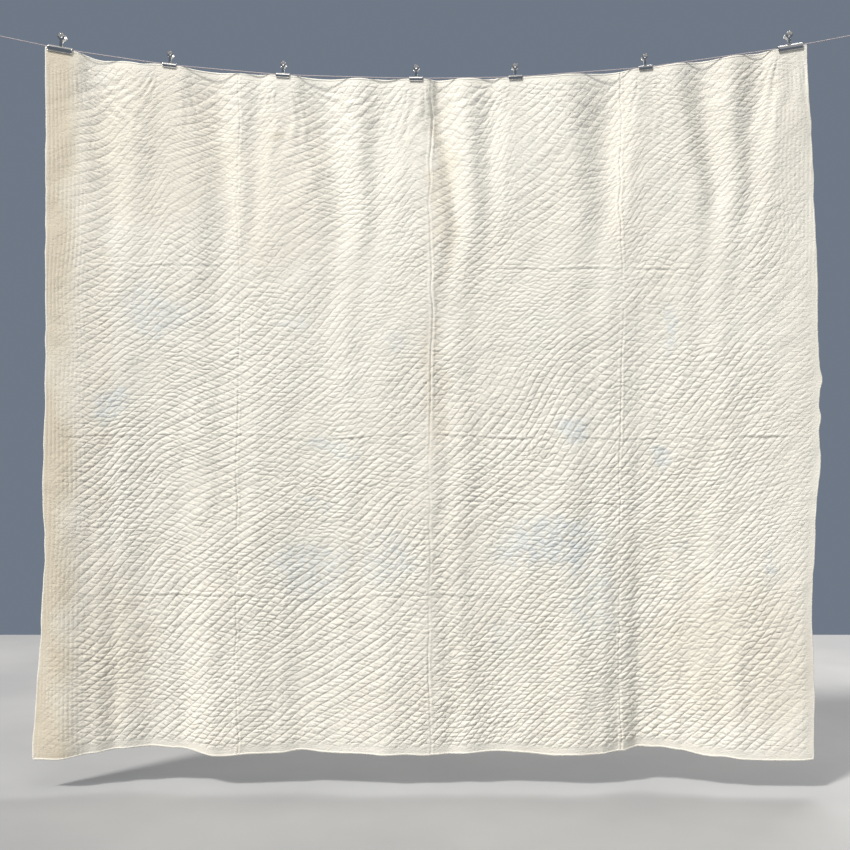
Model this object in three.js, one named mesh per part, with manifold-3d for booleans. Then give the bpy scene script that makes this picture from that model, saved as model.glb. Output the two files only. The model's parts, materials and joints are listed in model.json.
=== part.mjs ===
// A whole-cloth quilt held along its top edge by seven letter clips on a taut line, with the
// thimbles, ferrules, eyes and wall plates that hold the line at both ends.
//
// Millimetres. +X runs along the line from the left wall plate to the right one, +Y points to the
// back of the quilt and +Z is up. The origin is the centre of the left wall plate's back face, at
// the height of both eyes.

import * as THREE from 'three';
import { mergeVertices } from 'three/addons/utils/BufferGeometryUtils.js';
import Module from 'manifold-3d';

const wasm = await Module();
wasm.setup();

// ---------------------------------------------------------------- driving dimensions

const HALF_SPAN = 1270; // from the middle of the line to each plate's back face
const LINE_DIAMETER = 3;
const LINE_SIDES = 8;
const LINE_STEPS = 70;
const TOUCH_GAP = 0.3; // left between touching pieces

const PLATE = { thickness: 6, width: 44, height: 84, corner: 8, screwSpacing: 56 };
const SCREW = { shank: 5, length: 34, head: 10, headHeight: 3.2, slotWidth: 1.2, slotDepth: 1.4 };
const EYE = { ringRadius: 11, rod: 6, standOff: 15, shank: 8 };
const THIMBLE = { radius: 8, rod: 4, pointLength: 10 };
const FERRULE = { diameter: 6.6, length: 16 };

// The line's height below the eyes at each clip, and each clip's size. x is from mid-span.
const LARGE = {
  width: 70, scale: 1.3, thickness: 1.0, stemWidth: 8, tabRadius: 10.5, tabHole: 3.4, tabHeight: 25,
};
const SMALL = {
  width: 38, scale: 1.0, thickness: 0.8, stemWidth: 7, tabRadius: 8.5, tabHole: 3.0, tabHeight: 22,
};
const CLIPS = [
  { x: -1021, z: -47, size: LARGE },
  { x: -715, z: -92, size: SMALL },
  { x: -398, z: -120, size: SMALL },
  { x: -25, z: -130, size: SMALL },
  { x: 253, z: -126, size: SMALL },
  { x: 617, z: -99, size: SMALL },
  { x: 1022, z: -42, size: LARGE },
];
const LINE_BEND = 26; // the line bends over each clip within this distance either side of it

// The clip's cross-section at scale 1, from the crown of its spring at z = 0.
const LINE_BELOW_CROWN = 5;
const STEM_GAP = 1.2; // from the middle of the clip to the middle of each lever at the crown
const JAW_BULGE = { y: 4.0, z: -4.8 };
const JAW_BITE_Z = -11.6;
const LIP = { out: 1.5, down: 2.1 };
const SPRING_THICKNESS = 0.6;
const STEM_SLOT_MARGIN = 0.9;
const STEM_THINNER = 0.16; // the stem is drawn a little thinner than the jaw and the tab it joins

// The quilt: three layers, each offset from the middle surface.
const LAYERS = [
  { name: 'quilt_face', from: -1.6, to: -0.8, color: 0xe6e0d2, roughness: 0.9 },
  { name: 'quilt_wadding', from: -0.5, to: 0.5, color: 0xf1eee6, roughness: 1.0 },
  { name: 'quilt_backing', from: 0.8, to: 1.6, color: 0xe2dccd, roughness: 0.9 },
];
const EDGE_BELOW_LINE = 4; // the quilt's top edge, under the middle of the line
const FLAT_BESIDE_CLIP = 4; // how far the flat bitten stretch runs past each clip's side
const BITE_DEPTH = 26; // how far down the quilt stays flat under a clip
const COLUMNS_BETWEEN_CLIPS = 6;
const ROWS = [0, 0.013, 0.035, 0.075, 0.14, 0.24, 0.37, 0.5, 0.64, 0.78, 0.9, 1];
const HEM_HEIGHT = -2014; // the bottom edge, below the eyes
const HEM_LIFT = 0.28; // how much the hem rises for each millimetre that it hangs back

// The side edges, as [distance down the quilt, x]: 0 is the top edge and 1 the bottom.
const LEFT_EDGE = [[0, -1061], [0.25, -1067], [0.52, -1075], [0.7, -1070], [0.84, -1082], [1, -1100]];
const RIGHT_EDGE = [
  [0, 1067], [0.2, 1089], [0.36, 1098], [0.47, 1112], [0.56, 1108], [0.72, 1090], [0.86, 1089], [1, 1098],
];

// The folds, as [x, how far back the cloth hangs]: near the top, between the clips, and at the hem.
const TOP_FOLDS = [
  [-1061, 0], [-1021, 0], [-915, 15], [-800, -5], [-715, 0], [-585, 20], [-510, 3], [-465, 8],
  [-398, 0], [-280, 20], [-185, -2], [-120, 8], [-25, 0], [38, 18], [115, -6], [190, 8], [253, 0],
  [390, -8], [520, 19], [617, 0], [695, -6], [780, 18], [860, -4], [935, 16], [1022, 0], [1067, 0],
];
const HEM_FOLDS = [
  [-1100, -30], [-1020, -36], [-925, -8], [-860, 14], [-770, 30], [-695, 25], [-585, -20],
  [-500, -14], [-410, -2], [-345, 10], [-210, -6], [-110, -22], [-25, -16], [87, -6], [200, 6],
  [311, -8], [423, -20], [490, -12], [545, 17], [595, 40], [647, 32], [703, 16], [815, -18],
  [885, -34], [1040, -36], [1098, -28],
];
const TOP_FOLD_AT_EDGE = 0.45; // the part of a top fold's depth that shows at the very edge
const TOP_FOLD_FULL_AT = 200; // where a top fold has its whole depth
const TOP_FOLD_AT_HEM = 0.2; // the part that is left at the hem
const HEM_FOLD_STARTS = 150;
const QUILT_LENGTH = 1930;

// ---------------------------------------------------------------- helpers

function material(color, roughness, metalness) {
  return new THREE.MeshStandardMaterial({ color, roughness, metalness });
}

const nickel = () => material(0xc9c9cb, 0.22, 1);
const zinc = () => material(0xb4b7ba, 0.38, 1);

function namedMesh(name, geometry, meshMaterial) {
  const mesh = new THREE.Mesh(geometry, meshMaterial);
  mesh.name = name;
  return mesh;
}

function smoothStep(from, to, value) {
  const t = THREE.MathUtils.clamp((value - from) / (to - from), 0, 1);
  return t * t * (3 - 2 * t);
}

// A smooth curve through [x, y] points with rising x, which eases from each point to the next.
function curveThrough(points, x) {
  const last = points.length - 1;
  if (x <= points[0][0]) return points[0][1];
  if (x >= points[last][0]) return points[last][1];
  let i = 0;
  while (x > points[i + 1][0]) i += 1;
  const [x0, y0] = points[i];
  const [x1, y1] = points[i + 1];
  return y0 + (y1 - y0) * smoothStep(x0, x1, x);
}

// Straight pieces through [x, y] points with rising x.
function polylineAt(points, x) {
  let i = 0;
  while (i < points.length - 2 && x > points[i + 1][0]) i += 1;
  const [x0, y0] = points[i];
  const [x1, y1] = points[i + 1];
  return y0 + ((y1 - y0) * (x - x0)) / (x1 - x0);
}

function toManifold(geometry) {
  const bare = geometry.index ? geometry.clone() : mergeVertices(geometry);
  for (const key of Object.keys(bare.attributes)) {
    if (key !== 'position') bare.deleteAttribute(key);
  }
  const merged = mergeVertices(bare, 1e-4);
  return new wasm.Manifold(new wasm.Mesh({
    numProp: 3,
    vertProperties: new Float32Array(merged.attributes.position.array),
    triVerts: new Uint32Array(merged.index.array),
  }));
}

function toGeometry(solid) {
  const mesh = solid.getMesh();
  const geometry = new THREE.BufferGeometry();
  geometry.setAttribute('position', new THREE.BufferAttribute(mesh.vertProperties, 3));
  geometry.setIndex(new THREE.BufferAttribute(mesh.triVerts, 1));
  geometry.computeVertexNormals();
  return geometry;
}

function joined(geometries) {
  return geometries.map(toManifold).reduce((whole, part) => whole.add(part));
}

// The outline of a strip of sheet metal, in its [y, z] cross-section, from its middle line.
function stripOutline(middle, thickness) {
  const sides = [[], []];
  middle.forEach((point, i) => {
    const before = middle[Math.max(i - 1, 0)];
    const after = middle[Math.min(i + 1, middle.length - 1)];
    const run = new THREE.Vector2().subVectors(after, before).normalize();
    const normal = new THREE.Vector2(-run.y, run.x).multiplyScalar(thickness / 2);
    sides[0].push(point.clone().add(normal));
    sides[1].push(point.clone().sub(normal));
  });
  return new THREE.Shape([...sides[0], ...sides[1].reverse()]);
}

// A strip as wide as `width` along X, with its cross-section drawn as [y, z].
function bentStrip(middle, thickness, width) {
  const geometry = new THREE.ExtrudeGeometry(stripOutline(middle, thickness), {
    depth: width, bevelEnabled: false, steps: 1,
  });
  geometry.translate(0, 0, -width / 2);
  geometry.rotateX(Math.PI / 2);
  geometry.rotateZ(Math.PI / 2);
  return geometry;
}

// ---------------------------------------------------------------- the line

// The thimble hooks inside the eye, on the side away from the wall.
const EYE_CENTRE_X = HALF_SPAN - PLATE.thickness - EYE.standOff;
const HOOK_X = EYE_CENTRE_X - (EYE.ringRadius - EYE.rod / 2 - TOUCH_GAP - THIMBLE.rod / 2);
const FERRULE_START = 2 * THIMBLE.radius + THIMBLE.rod / 2 + THIMBLE.pointLength;
const LINE_START = FERRULE_START + FERRULE.length + 2 * TOUCH_GAP;

// The straight stretch from each eye to the nearest clip: side is -1 at the left, 1 at the right.
function endDirection(side) {
  const clip = side < 0 ? CLIPS[0] : CLIPS[CLIPS.length - 1];
  return new THREE.Vector3(clip.x - side * HOOK_X, 0, clip.z).normalize();
}

function endOfLine(side) {
  return new THREE.Vector3(side * HOOK_X, 0, 0).addScaledVector(endDirection(side), LINE_START);
}

function linePoints() {
  const corners = [endOfLine(-1), ...CLIPS.map((c) => new THREE.Vector3(c.x, 0, c.z)), endOfLine(1)];
  const points = [corners[0]];
  for (let i = 1; i < corners.length - 1; i += 1) {
    for (const other of [corners[i - 1], corners[i + 1]]) {
      const along = new THREE.Vector3().subVectors(other, corners[i]).setLength(LINE_BEND);
      points.push(corners[i].clone().add(along));
    }
  }
  points.push(corners[corners.length - 1]);
  return points;
}

function hangingLine() {
  const section = new THREE.Shape();
  for (let i = 0; i < LINE_SIDES; i += 1) {
    const angle = (2 * Math.PI * i) / LINE_SIDES;
    const x = (Math.cos(angle) * LINE_DIAMETER) / 2;
    const y = (Math.sin(angle) * LINE_DIAMETER) / 2;
    if (i === 0) section.moveTo(x, y);
    else section.lineTo(x, y);
  }
  section.closePath();
  const geometry = new THREE.ExtrudeGeometry(section, {
    steps: LINE_STEPS,
    bevelEnabled: false,
    extrudePath: new THREE.CatmullRomCurve3(linePoints(), false, 'centripetal'),
  });
  return namedMesh('hanging_line', geometry, material(0xa89fa4, 0.75, 0));
}

const LINE_HEIGHTS = [
  [-HOOK_X, 0], ...CLIPS.map((clip) => [clip.x, clip.z]), [HOOK_X, 0],
];

// ---------------------------------------------------------------- the ends of the line

function screw(name, side, z) {
  const depth = SCREW.length + SCREW.headHeight;
  const profile = [
    [0, 0], [SCREW.shank * 0.2, 0], [SCREW.shank / 2, SCREW.shank], [SCREW.shank / 2, SCREW.length],
    [SCREW.head / 2, SCREW.length], [SCREW.head / 2, SCREW.length + 1], [SCREW.head * 0.32, depth],
    [0, depth],
  ].map(([r, y]) => new THREE.Vector2(r, y));
  const body = new THREE.LatheGeometry(profile, 16);
  const slot = new THREE.BoxGeometry(SCREW.head * 1.2, 2 * SCREW.slotDepth, SCREW.slotWidth);
  slot.translate(0, depth, 0);
  const solid = toManifold(body).subtract(toManifold(slot));
  const mesh = namedMesh(name, toGeometry(solid), zinc());
  // The head stands on the plate's front face, and the point goes into the wall.
  const headSeat = HALF_SPAN - PLATE.thickness - TOUCH_GAP;
  mesh.rotation.z = (side * Math.PI) / 2;
  mesh.position.set(side * (headSeat + SCREW.length), 0, z);
  return mesh;
}

function wallPlate(name, side) {
  const halfWidth = PLATE.width / 2;
  const halfHeight = PLATE.height / 2;
  const r = PLATE.corner;
  const outline = new THREE.Shape();
  outline.absarc(halfWidth - r, halfHeight - r, r, 0, Math.PI / 2);
  outline.absarc(-halfWidth + r, halfHeight - r, r, Math.PI / 2, Math.PI);
  outline.absarc(-halfWidth + r, -halfHeight + r, r, Math.PI, 1.5 * Math.PI);
  outline.absarc(halfWidth - r, -halfHeight + r, r, 1.5 * Math.PI, 2 * Math.PI);
  for (const z of [-PLATE.screwSpacing / 2, PLATE.screwSpacing / 2]) {
    const hole = new THREE.Path();
    hole.absarc(0, z, SCREW.shank / 2 + TOUCH_GAP, 0, 2 * Math.PI, true);
    outline.holes.push(hole);
  }
  const plate = new THREE.ExtrudeGeometry(outline, {
    depth: PLATE.thickness, bevelEnabled: false, curveSegments: 6,
  });
  plate.rotateX(Math.PI / 2);
  plate.rotateZ(Math.PI / 2);
  plate.translate(-PLATE.thickness, 0, 0);

  const ring = new THREE.TorusGeometry(EYE.ringRadius, EYE.rod / 2, 8, 20);
  ring.rotateX(Math.PI / 2);
  ring.translate(-PLATE.thickness - EYE.standOff, 0, 0);

  const shankLength = EYE.standOff - EYE.ringRadius + 2;
  const shank = new THREE.CylinderGeometry(EYE.shank / 2, EYE.shank / 2, shankLength, 12);
  shank.rotateZ(Math.PI / 2);
  shank.translate(-PLATE.thickness - shankLength / 2 + 1, 0, 0);

  const geometry = toGeometry(joined([plate, ring, shank]));
  const mesh = namedMesh(name, geometry, zinc());
  // Drawn for the right-hand end; the left-hand one is the same plate turned about Z.
  mesh.rotation.z = side > 0 ? 0 : Math.PI;
  mesh.position.x = side * HALF_SPAN;
  return mesh;
}

// The loop of line round its thimble: a ring drawn out to a point at the ferrule.
function thimbleGeometry() {
  const ring = new THREE.TorusGeometry(THIMBLE.radius, THIMBLE.rod / 2, 8, 24);
  const position = ring.attributes.position;
  for (let i = 0; i < position.count; i += 1) {
    const x = position.getX(i);
    const along = Math.max(x / THIMBLE.radius, 0);
    const drawn = Math.min(along, 1);
    position.setX(i, x + drawn * drawn * THIMBLE.pointLength);
    position.setY(i, position.getY(i) * (1 - 0.25 * drawn));
  }
  ring.translate(THIMBLE.radius, 0, 0);
  ring.computeVertexNormals();
  return ring;
}

function lineEnd(side) {
  const word = side < 0 ? 'left' : 'right';
  const link = new THREE.Group();
  const direction = endDirection(side);
  link.position.set(side * HOOK_X, 0, 0);
  link.rotation.y = Math.atan2(-direction.z, direction.x);

  link.add(namedMesh(`${word}_thimble`, thimbleGeometry(), zinc()));
  const ferrule = new THREE.CylinderGeometry(
    FERRULE.diameter / 2, FERRULE.diameter / 2, FERRULE.length, 14,
  );
  ferrule.rotateZ(Math.PI / 2);
  ferrule.translate(FERRULE_START + TOUCH_GAP + FERRULE.length / 2, 0, 0);
  link.add(namedMesh(`${word}_ferrule`, ferrule, material(0xb9bcbe, 0.45, 1)));

  const end = new THREE.Group();
  end.add(link);
  end.add(wallPlate(`${word}_wall_plate`, side));
  end.add(screw(`${word}_screw_upper`, side, PLATE.screwSpacing / 2));
  end.add(screw(`${word}_screw_lower`, side, -PLATE.screwSpacing / 2));
  return end;
}

// ---------------------------------------------------------------- the clips

// The quilt's half thickness in the jaws, with the gap to each jaw.
const JAW_HALF_GAP = LAYERS[2].to + TOUCH_GAP;

// The middle line of one lever's jaw, from under the crown to the tip of its lip, as [y, z] with
// y away from the middle of the clip.
function jawMiddle(size) {
  const k = size.scale;
  const jawY = JAW_HALF_GAP + size.thickness / 2;
  const corners = [
    [STEM_GAP + 0.1, -1.5 * k],
    [0.8 * JAW_BULGE.y * k, -2.6 * k],
    [JAW_BULGE.y * k, JAW_BULGE.z * k],
    [0.8 * JAW_BULGE.y * k, -8.4 * k],
    [jawY, JAW_BITE_Z * k],
    [jawY + LIP.out, (JAW_BITE_Z - LIP.down) * k],
  ];
  return corners.map(([y, z]) => new THREE.Vector2(y, z));
}

function leverGeometry(size) {
  const k = size.scale;
  const jaw = bentStrip(jawMiddle(size), size.thickness, size.width - 2);

  const tabCentre = new THREE.Vector2(10.4, size.tabHeight);
  const stemTop = new THREE.Vector2(7.4, size.tabHeight - 6);
  const stem = bentStrip([
    new THREE.Vector2(STEM_GAP + 0.15, -1.8 * k),
    new THREE.Vector2(STEM_GAP, 0),
    new THREE.Vector2(STEM_GAP + 1.8, 7),
    stemTop,
    new THREE.Vector2().lerpVectors(stemTop, tabCentre, 0.35),
  ], size.thickness - STEM_THINNER, size.stemWidth);

  const outline = new THREE.Shape();
  outline.absarc(0, 0, size.tabRadius, 0, 2 * Math.PI);
  const eye = new THREE.Path();
  eye.absarc(0, 0, size.tabHole, 0, 2 * Math.PI, true);
  outline.holes.push(eye);
  const tab = new THREE.ExtrudeGeometry(outline, {
    depth: size.thickness, bevelEnabled: false, curveSegments: 9,
  });
  // The tab lies in the plane that carries on from the stem.
  const lean = Math.atan2(tabCentre.x - stemTop.x, tabCentre.y - stemTop.y);
  tab.translate(0, 0, -size.thickness / 2);
  tab.rotateX(Math.PI / 2 - lean);
  tab.translate(0, tabCentre.x, tabCentre.y);
  return toGeometry(joined([jaw, stem, tab]));
}

// The rolled spring: round over the crown, then down outside both jaws to its own lips, with a
// slot in the crown for the two stems.
function springGeometry(size) {
  const k = size.scale;
  const clear = size.thickness / 2 + TOUCH_GAP + (SPRING_THICKNESS * k) / 2 + 0.1;
  const rearSide = jawMiddle(size).slice(2).map((point, i, all) => {
    const before = all[Math.max(i - 1, 0)];
    const after = all[Math.min(i + 1, all.length - 1)];
    const run = new THREE.Vector2().subVectors(after, before).normalize();
    return point.clone().add(new THREE.Vector2(-run.y, run.x).multiplyScalar(clear));
  });
  const shoulder = rearSide[0];
  const arcSteps = 10;
  const middle = rearSide.slice(1).reverse();
  for (let i = 0; i <= arcSteps; i += 1) {
    const angle = (Math.PI * i) / arcSteps;
    middle.push(new THREE.Vector2(
      shoulder.x * Math.cos(angle), shoulder.y * (1 - Math.sin(angle)),
    ));
  }
  rearSide.slice(1).forEach((point) => middle.push(new THREE.Vector2(-point.x, point.y)));
  const sheet = bentStrip(middle, SPRING_THICKNESS * k, size.width);

  const slotWidth = size.stemWidth + 2 * STEM_SLOT_MARGIN;
  const slotDepth = 2 * (STEM_GAP + size.thickness / 2 + STEM_SLOT_MARGIN);
  const slot = new THREE.BoxGeometry(slotWidth, slotDepth, 4 * k);
  return toGeometry(toManifold(sheet).subtract(toManifold(slot)));
}

function clip(index) {
  const { x, z, size } = CLIPS[index];
  const before = LINE_HEIGHTS[index];
  const after = LINE_HEIGHTS[index + 2];
  const slopeBefore = (z - before[1]) / (x - before[0]);
  const slopeAfter = (after[1] - z) / (after[0] - x);
  const tilt = Math.atan((slopeBefore + slopeAfter) / 2);

  const rear = leverGeometry(size);
  const front = rear.clone();
  front.rotateZ(Math.PI);

  const label = `clip_${index + 1}`;
  const body = new THREE.Group();
  body.add(namedMesh(`${label}_spring`, springGeometry(size), nickel()));
  body.add(namedMesh(`${label}_front_lever`, front, nickel()));
  body.add(namedMesh(`${label}_rear_lever`, rear, nickel()));
  body.position.z = LINE_BELOW_CROWN * size.scale;

  const placed = new THREE.Group();
  placed.add(body);
  placed.rotation.y = -tilt;
  placed.position.set(x, 0, z);
  return placed;
}

// ---------------------------------------------------------------- the quilt

// 0 in a clip's jaws and 1 away from every clip.
function awayFromClips(x) {
  let away = 1;
  for (const { x: clipX, size } of CLIPS) {
    const held = size.width / 2 + FLAT_BESIDE_CLIP;
    away = Math.min(away, smoothStep(held, held + 40, Math.abs(x - clipX)));
  }
  return away;
}

// How far back the cloth hangs at x, `down` millimetres under its top edge.
function foldDepth(x, down) {
  const away = awayFromClips(x);
  const loose = away + (1 - away) * smoothStep(BITE_DEPTH, BITE_DEPTH + 110, down);
  const opening = TOP_FOLD_AT_EDGE
    + (1 - TOP_FOLD_AT_EDGE) * smoothStep(0, TOP_FOLD_FULL_AT, down);
  const fading = 1 - (1 - TOP_FOLD_AT_HEM) * smoothStep(TOP_FOLD_FULL_AT, QUILT_LENGTH, down);
  const top = curveThrough(TOP_FOLDS, x) * loose * opening * fading;
  const hem = curveThrough(HEM_FOLDS, x) * smoothStep(HEM_FOLD_STARTS, QUILT_LENGTH, down);
  return top + hem;
}

function quiltColumns() {
  const columns = [LEFT_EDGE[0][1]];
  CLIPS.forEach(({ x, size }, i) => {
    const held = size.width / 2 + FLAT_BESIDE_CLIP;
    const left = Math.max(x - held, LEFT_EDGE[0][1] + 1);
    const right = Math.min(x + held, RIGHT_EDGE[0][1] - 1);
    columns.push(left, right);
    if (i < CLIPS.length - 1) {
      const next = CLIPS[i + 1].x - CLIPS[i + 1].size.width / 2 - FLAT_BESIDE_CLIP;
      for (let j = 1; j < COLUMNS_BETWEEN_CLIPS; j += 1) {
        columns.push(right + ((next - right) * j) / COLUMNS_BETWEEN_CLIPS);
      }
    }
  });
  columns.push(RIGHT_EDGE[0][1]);
  return columns;
}

// The middle surface of the quilt, at a column's place along the top edge and a row's share down.
function quiltPoint(topX, share) {
  const across = (topX - LEFT_EDGE[0][1]) / (RIGHT_EDGE[0][1] - LEFT_EDGE[0][1]);
  const x = THREE.MathUtils.lerp(
    curveThrough(LEFT_EDGE, share), curveThrough(RIGHT_EDGE, share), across,
  );
  const topZ = polylineAt(LINE_HEIGHTS, topX) - EDGE_BELOW_LINE;
  const hemZ = HEM_HEIGHT + HEM_LIFT * curveThrough(HEM_FOLDS, x);
  const z = THREE.MathUtils.lerp(topZ, hemZ, share);
  return new THREE.Vector3(x, foldDepth(x, topZ - z), z);
}

// One layer: a front sheet and a back sheet on the same grid, closed round their edges.
function layerGeometry(from, to) {
  const columns = quiltColumns();
  const vertices = [];
  for (const offset of [from, to]) {
    for (const share of ROWS) {
      for (const topX of columns) {
        const point = quiltPoint(topX, share);
        vertices.push(point.x, point.y + offset, point.z);
      }
    }
  }
  const across = columns.length;
  const backStart = across * ROWS.length;
  const indices = [];
  const quad = (a, b, c, d) => indices.push(a, b, c, a, c, d);
  for (let row = 0; row < ROWS.length - 1; row += 1) {
    for (let column = 0; column < across - 1; column += 1) {
      const a = row * across + column;
      const below = a + across;
      quad(a, below, below + 1, a + 1);
      const b = backStart + a;
      quad(b, b + 1, b + across + 1, b + across);
    }
  }
  for (let column = 0; column < across - 1; column += 1) {
    const low = (ROWS.length - 1) * across + column;
    quad(column, column + 1, backStart + column + 1, backStart + column);
    quad(low + 1, low, backStart + low, backStart + low + 1);
  }
  for (let row = 0; row < ROWS.length - 1; row += 1) {
    const left = row * across;
    const right = left + across - 1;
    quad(left + across, left, backStart + left, backStart + left + across);
    quad(right, right + across, backStart + right + across, backStart + right);
  }
  const geometry = new THREE.BufferGeometry();
  geometry.setAttribute('position', new THREE.Float32BufferAttribute(vertices, 3));
  geometry.setIndex(indices);
  geometry.computeVertexNormals();
  return geometry;
}

// ---------------------------------------------------------------- the assembly

const assembly = new THREE.Group();
assembly.add(lineEnd(-1));
assembly.add(lineEnd(1));
assembly.add(hangingLine());
CLIPS.forEach((_, index) => assembly.add(clip(index)));
for (const { name, from, to, color, roughness } of LAYERS) {
  assembly.add(namedMesh(name, layerGeometry(from, to), material(color, roughness, 0)));
}
assembly.position.x = HALF_SPAN;

const part = new THREE.Group();
part.add(assembly);

export default part;
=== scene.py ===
"""A whole-cloth quilt clipped to a taut line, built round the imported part's frame.

Metres, in the row frame: +X runs along the line, +Y points to the back of the quilt, +Z is up.
Places along the line are counted from its middle, and heights from the two eyes.
"""

import json
import math

import bmesh
import bpy
import numpy as np
from mathutils import Matrix, Vector


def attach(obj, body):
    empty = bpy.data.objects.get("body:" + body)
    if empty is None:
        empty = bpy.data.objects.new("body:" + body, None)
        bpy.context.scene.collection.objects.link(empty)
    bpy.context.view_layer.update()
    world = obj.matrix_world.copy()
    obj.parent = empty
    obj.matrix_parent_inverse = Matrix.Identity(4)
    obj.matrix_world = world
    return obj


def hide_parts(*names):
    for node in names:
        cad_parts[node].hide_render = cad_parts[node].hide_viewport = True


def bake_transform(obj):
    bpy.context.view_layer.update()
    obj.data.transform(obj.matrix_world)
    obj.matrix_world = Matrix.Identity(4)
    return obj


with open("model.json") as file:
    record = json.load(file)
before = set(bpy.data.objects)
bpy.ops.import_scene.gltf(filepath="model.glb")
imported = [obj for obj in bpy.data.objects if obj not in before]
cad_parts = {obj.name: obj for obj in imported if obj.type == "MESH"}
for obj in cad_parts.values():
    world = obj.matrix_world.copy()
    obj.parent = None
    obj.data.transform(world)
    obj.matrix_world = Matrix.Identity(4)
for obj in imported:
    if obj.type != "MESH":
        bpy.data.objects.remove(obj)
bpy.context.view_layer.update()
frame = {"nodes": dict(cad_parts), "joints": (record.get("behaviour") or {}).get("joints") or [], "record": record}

# ---------- sizes and places

MID_X = frame["record"]["mounts"][1]["pos_m"][0] / 2
HANGING = "hanging"
SEED = 11

# The line: (place, height) at each clip, its laid strands, and the thimbles at its ends.
LINE_DIAMETER = 0.003
LINE_CORNERS = [
    (-1.021, -0.047), (-0.715, -0.092), (-0.398, -0.120), (-0.025, -0.130),
    (0.253, -0.126), (0.617, -0.099), (1.022, -0.042),
]
LINE_BEND = 0.026
HOOK_X = 1.2433
LINE_START = 0.0446
DIAMETERS_PER_LAY = 4.2
ROPE_SIDES = 18
ROPE_GROOVE = 0.20
THIMBLE_RADIUS, THIMBLE_ROD, THIMBLE_POINT = 0.008, 0.004, 0.010
LOOP_GAP = 0.0002
LOOP_SHARE = 0.92

# The clips: a large one at each corner and five small ones between.
LARGE = {
    "width": 0.070, "scale": 1.3, "sheet": 0.0010, "stem": 0.008, "tab": 0.0105, "hole": 0.0034,
    "tab_height": 0.025,
}
SMALL = {
    "width": 0.038, "scale": 1.0, "sheet": 0.0008, "stem": 0.007, "tab": 0.0085, "hole": 0.0030,
    "tab_height": 0.022,
}
SIZES = [LARGE, SMALL, SMALL, SMALL, SMALL, SMALL, LARGE]
STEM_GAP = 0.0012
JAW_HALF_GAP = 0.0019
SPRING_SHEET = 0.0006
SPRING_CLEARANCE = 0.0004
SLOT_CLEARANCE = 0.0009
TAB_OUT, STEM_TOP_OUT, STEM_TOP_BELOW_TAB = 0.0104, 0.0074, 0.006
LEVER_EDGE, SPRING_EDGE = 0.00018, 0.00010
TAB_STEPS = 40
SHARP_TURN = math.radians(50)

# The quilt.
HALF_THICKNESS = 0.0016
EDGE_BELOW_LINE = 0.004
TOP_SAGS = [0.010, 0.004, 0.004, 0.002, 0.003, 0.002]
FLAT_BESIDE_CLIP = 0.004
BITE_DEPTH = 0.026
HEM_HEIGHT = -2.014
HEM_LIFT = 0.33
QUILT_LENGTH = 1.930
LEFT_EDGE = [
    (0, -1.061), (0.11, -1.060), (0.46, -1.057), (0.63, -1.064), (0.71, -1.056), (0.80, -1.065),
    (1, -1.086),
]
RIGHT_EDGE = [
    (0, 1.067), (0.2, 1.086), (0.36, 1.095), (0.45, 1.103), (0.58, 1.100), (0.68, 1.086),
    (0.80, 1.073), (0.90, 1.078), (1, 1.075),
]
TOP_FOLDS = [
    (-1.061, 0), (-1.021, 0), (-0.915, 0.015), (-0.800, -0.005), (-0.715, 0), (-0.585, 0.020),
    (-0.510, 0.003), (-0.465, 0.008), (-0.398, 0), (-0.280, 0.020), (-0.185, -0.002),
    (-0.120, 0.008), (-0.025, 0), (0.038, 0.018), (0.115, -0.006), (0.190, 0.008), (0.253, 0),
    (0.390, -0.008), (0.520, 0.019), (0.617, 0), (0.695, -0.006), (0.780, 0.015),
    (0.860, -0.003), (0.935, 0.012), (1.022, 0), (1.067, 0),
]
HEM_FOLDS = [
    (-1.100, -0.030), (-1.020, -0.036), (-0.925, -0.008), (-0.860, 0.014), (-0.770, 0.030),
    (-0.695, 0.025), (-0.585, -0.020), (-0.500, -0.014), (-0.410, -0.002), (-0.345, 0.010),
    (-0.210, -0.006), (-0.110, -0.022), (-0.025, -0.016), (0.087, -0.006), (0.200, 0.006),
    (0.311, -0.008), (0.423, -0.018), (0.490, -0.012), (0.550, 0.010), (0.605, 0.032),
    (0.655, 0.027), (0.713, 0.012), (0.815, -0.018), (0.885, -0.034), (1.040, -0.036),
    (1.098, -0.028),
]
TOP_FOLD_AT_EDGE = 0.70
TOP_FOLD_DEPTH = 1.5
TOP_FOLD_FULL_AT = 0.200
TOP_FOLD_AT_HEM = 0.13
HEM_FOLD_STARTS = 0.150
SEAM_X = 0.014
LONG_VALLEY = (-0.600, 0.045)
LONG_VALLEY_DEPTH = 0.007
EDGE_TAPER, TOP_TAPER_LESS = 0.014, 0.004
HEM_HALF_DEPTH, HEM_HALF_THICKNESS = 0.0030, 0.0019
HEM_STEP = 0.005
WADDING_INSET = 0.010
WADDING_HALF_THICKNESS = 0.0002
WADDING_COLUMNS, WADDING_ROWS = 222, 202

# Quilting: rows of hand stitching on a slant, crossed by nearly level ones.
SLANT = math.radians(43)
SLANT_PITCH = 0.0195
LEVEL_PITCH = 0.0135
PUFF = 0.0025
SLANT_GROOVE, LEVEL_GROOVE = 0.0025, 0.0020
STITCHES_PER_LEVEL_ROW = 6.0
# How the rows drift and how uneven the puffs are: (size, cell, seed) of each noise.
DRIFT_ACROSS = [(0.040, 0.42, 30), (0.007, 0.14, 31), (0.0008, 0.022, 36)]
DRIFT_DOWN = [(0.046, 0.38, 32), (0.007, 0.13, 33)]
PATCHY = [(0.24, 0.16, 16), (0.12, 0.05, 17)]

# Ripples at the clips and down the side edges.
CLIP_RIPPLE, CLIP_RIPPLE_REACH, CLIP_RIPPLES_PER_RADIAN = 0.0014, 0.11, 33
SIDE_RIPPLE, SIDE_RIPPLE_PITCH = 0.0009, 0.0115

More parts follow.
